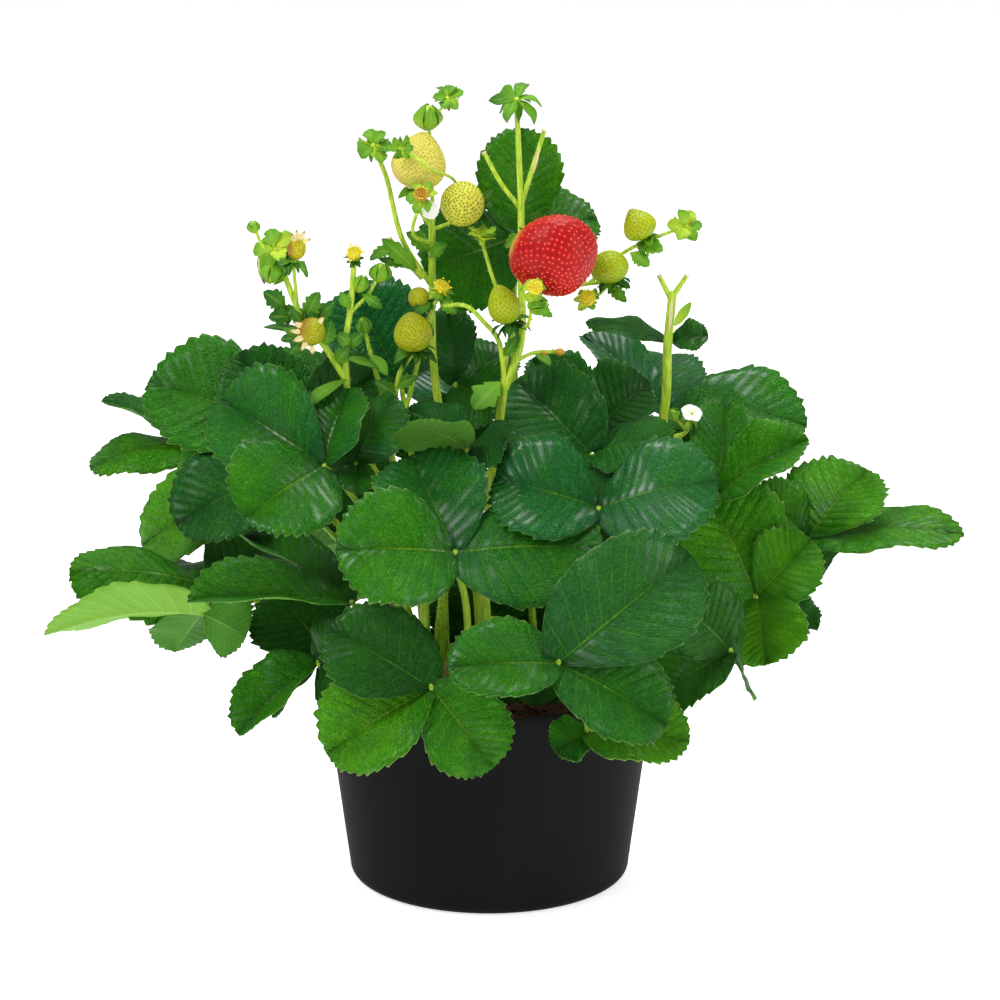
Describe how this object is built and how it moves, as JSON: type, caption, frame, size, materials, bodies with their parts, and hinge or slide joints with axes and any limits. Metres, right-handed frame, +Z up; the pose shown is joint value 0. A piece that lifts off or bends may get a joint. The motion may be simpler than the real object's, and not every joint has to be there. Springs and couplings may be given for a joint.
{
  "type": "potted strawberry plant",
  "caption": "Bushy strawberry plant with toothed three-part leaves, flower trusses and ripening fruit in a tapered round nursery pot.",
  "frame": {"origin": "centre of the pot's flat underside", "axes": "+Z up, +X to the right and -Y towards the viewer as pictured"},
  "size_m": [0.4, 0.2827, 0.3559],
  "materials": {
    "pot_plastic": "near-black moulded plastic, satin",
    "potting_soil": "dark crumbly peat",
    "leaf": "glossy dark green with sunk veins, paler beneath",
    "leaf_stalk": "yellow-green, finely hairy",
    "truss_stalk": "pale yellow-green, finely hairy",
    "ripe_fruit": "glossy red with pale seeds",
    "pale_fruit": "greenish white with golden seeds",
    "green_fruit": "olive green with dark seeds",
    "flower_centre": "grainy yellow",
    "petal": "soft white"
  },
  "bodies": {
    "root": {"pot": "pot_plastic", "soil": "potting_soil", "crown_left": "leaf_stalk", "crown_right": "leaf_stalk", "leaf_front_left": "leaf", "leaf_front_right": "leaf", "leaf_front_centre": "leaf", "leaf_left_glossy": "leaf", "leaf_left_high": "leaf", "leaf_left_wing": "leaf", "leaf_left_round": "leaf", "leaf_left_arched": "leaf", "leaf_left_lime": "leaf", "leaf_left_folded": "leaf", "leaf_left_shade": "leaf", "leaf_left_hanging": "leaf", "leaf_centre_low": "leaf", "leaf_rim_right": "leaf", "leaf_centre_right": "leaf", "leaf_middle_right": "leaf", "leaf_middle_back": "leaf", "leaf_right_high": "leaf", "leaf_right_fan": "leaf", "leaf_right_bright": "leaf", "leaf_right_far": "leaf", "leaf_right_dark": "leaf", "leaf_right_under": "leaf", "leaf_back_blue": "leaf", "leaf_back_veined": "leaf", "leaf_top": "leaf", "leaf_centre_edge": "leaf", "leaf_centre_silver": "leaf", "leaf_back_left": "leaf", "leaf_back_middle": "leaf", "leaf_inner_right": "leaf", "leaf_inner_left": "leaf", "leaf_cut_stalk": "leaf", "truss_left": "truss_stalk", "truss_middle": "truss_stalk", "truss_tall": "truss_stalk", "truss_main": "truss_stalk", "truss_right": "truss_stalk", "fruit_red": "ripe_fruit", "fruit_white_large": "pale_fruit", "fruit_white_medium": "pale_fruit", "fruit_pear": "green_fruit", "fruit_round": "green_fruit", "fruit_small_brown": "green_fruit", "fruit_left_top": "green_fruit", "fruit_left_egg": "green_fruit", "fruit_right_round": "green_fruit", "fruit_right_cone": "green_fruit", "flower_left": "flower_centre", "flower_middle": "flower_centre", "flower_tall": "flower_centre", "flower_front": "flower_centre", "flower_right": "flower_centre", "flower_petals": "petal"}
  },
  "joints": []
}
